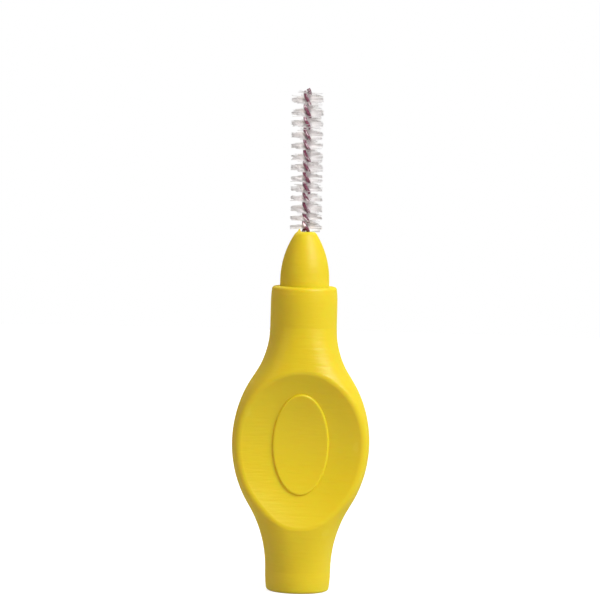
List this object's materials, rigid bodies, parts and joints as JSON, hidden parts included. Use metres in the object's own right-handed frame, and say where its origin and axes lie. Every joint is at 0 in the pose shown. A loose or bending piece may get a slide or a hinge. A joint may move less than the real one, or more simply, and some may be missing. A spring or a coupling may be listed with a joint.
{
  "type": "interdental brush",
  "caption": "Interdental brush: a twisted coated wire pinching fine filaments, set in a bullet nose on a soft dished thumb grip; the wire neck flexes.",
  "frame": {"origin": "centre of the flat tail face, at the bottom of the grip", "axes": "+Z along the brush from the tail to the wire tip, X across the thumb paddle, -Y out of the front thumb face"},
  "size_m": [0.0144, 0.0082, 0.0529],
  "materials": {
    "grip_elastomer": "satin moulded elastomer, fine matt texture",
    "nose_plastic": "satin moulded plastic",
    "wire_steel": "drawn wire, bright at the cut ends",
    "wire_coating": "thin glossy magenta coating",
    "bristle_nylon": "translucent drawn filament"
  },
  "bodies": {
    "handle": {"grip": "grip_elastomer", "nose_insert": "nose_plastic"},
    "head": {"wire_core": "wire_steel", "wire_coat": "wire_coating", "bristle_row_01": "bristle_nylon", "bristle_row_02": "bristle_nylon", "bristle_row_03": "bristle_nylon", "bristle_row_04": "bristle_nylon", "bristle_row_05": "bristle_nylon", "bristle_row_06": "bristle_nylon", "bristle_row_07": "bristle_nylon", "bristle_row_08": "bristle_nylon", "bristle_row_09": "bristle_nylon", "bristle_row_10": "bristle_nylon", "bristle_row_11": "bristle_nylon", "bristle_row_12": "bristle_nylon", "bristle_row_13": "bristle_nylon"}
  },
  "joints": [
    {"name": "neck_bend", "type": "hinge", "parent": "handle", "child": "head", "pos_m": [0, 0, 0.0378], "axis": [1, 0, 0], "range_deg": [-25, 25], "stiffness_Nm_per_rad": 0.005, "deforming": ["wire_core", "wire_coat"]}
  ]
}
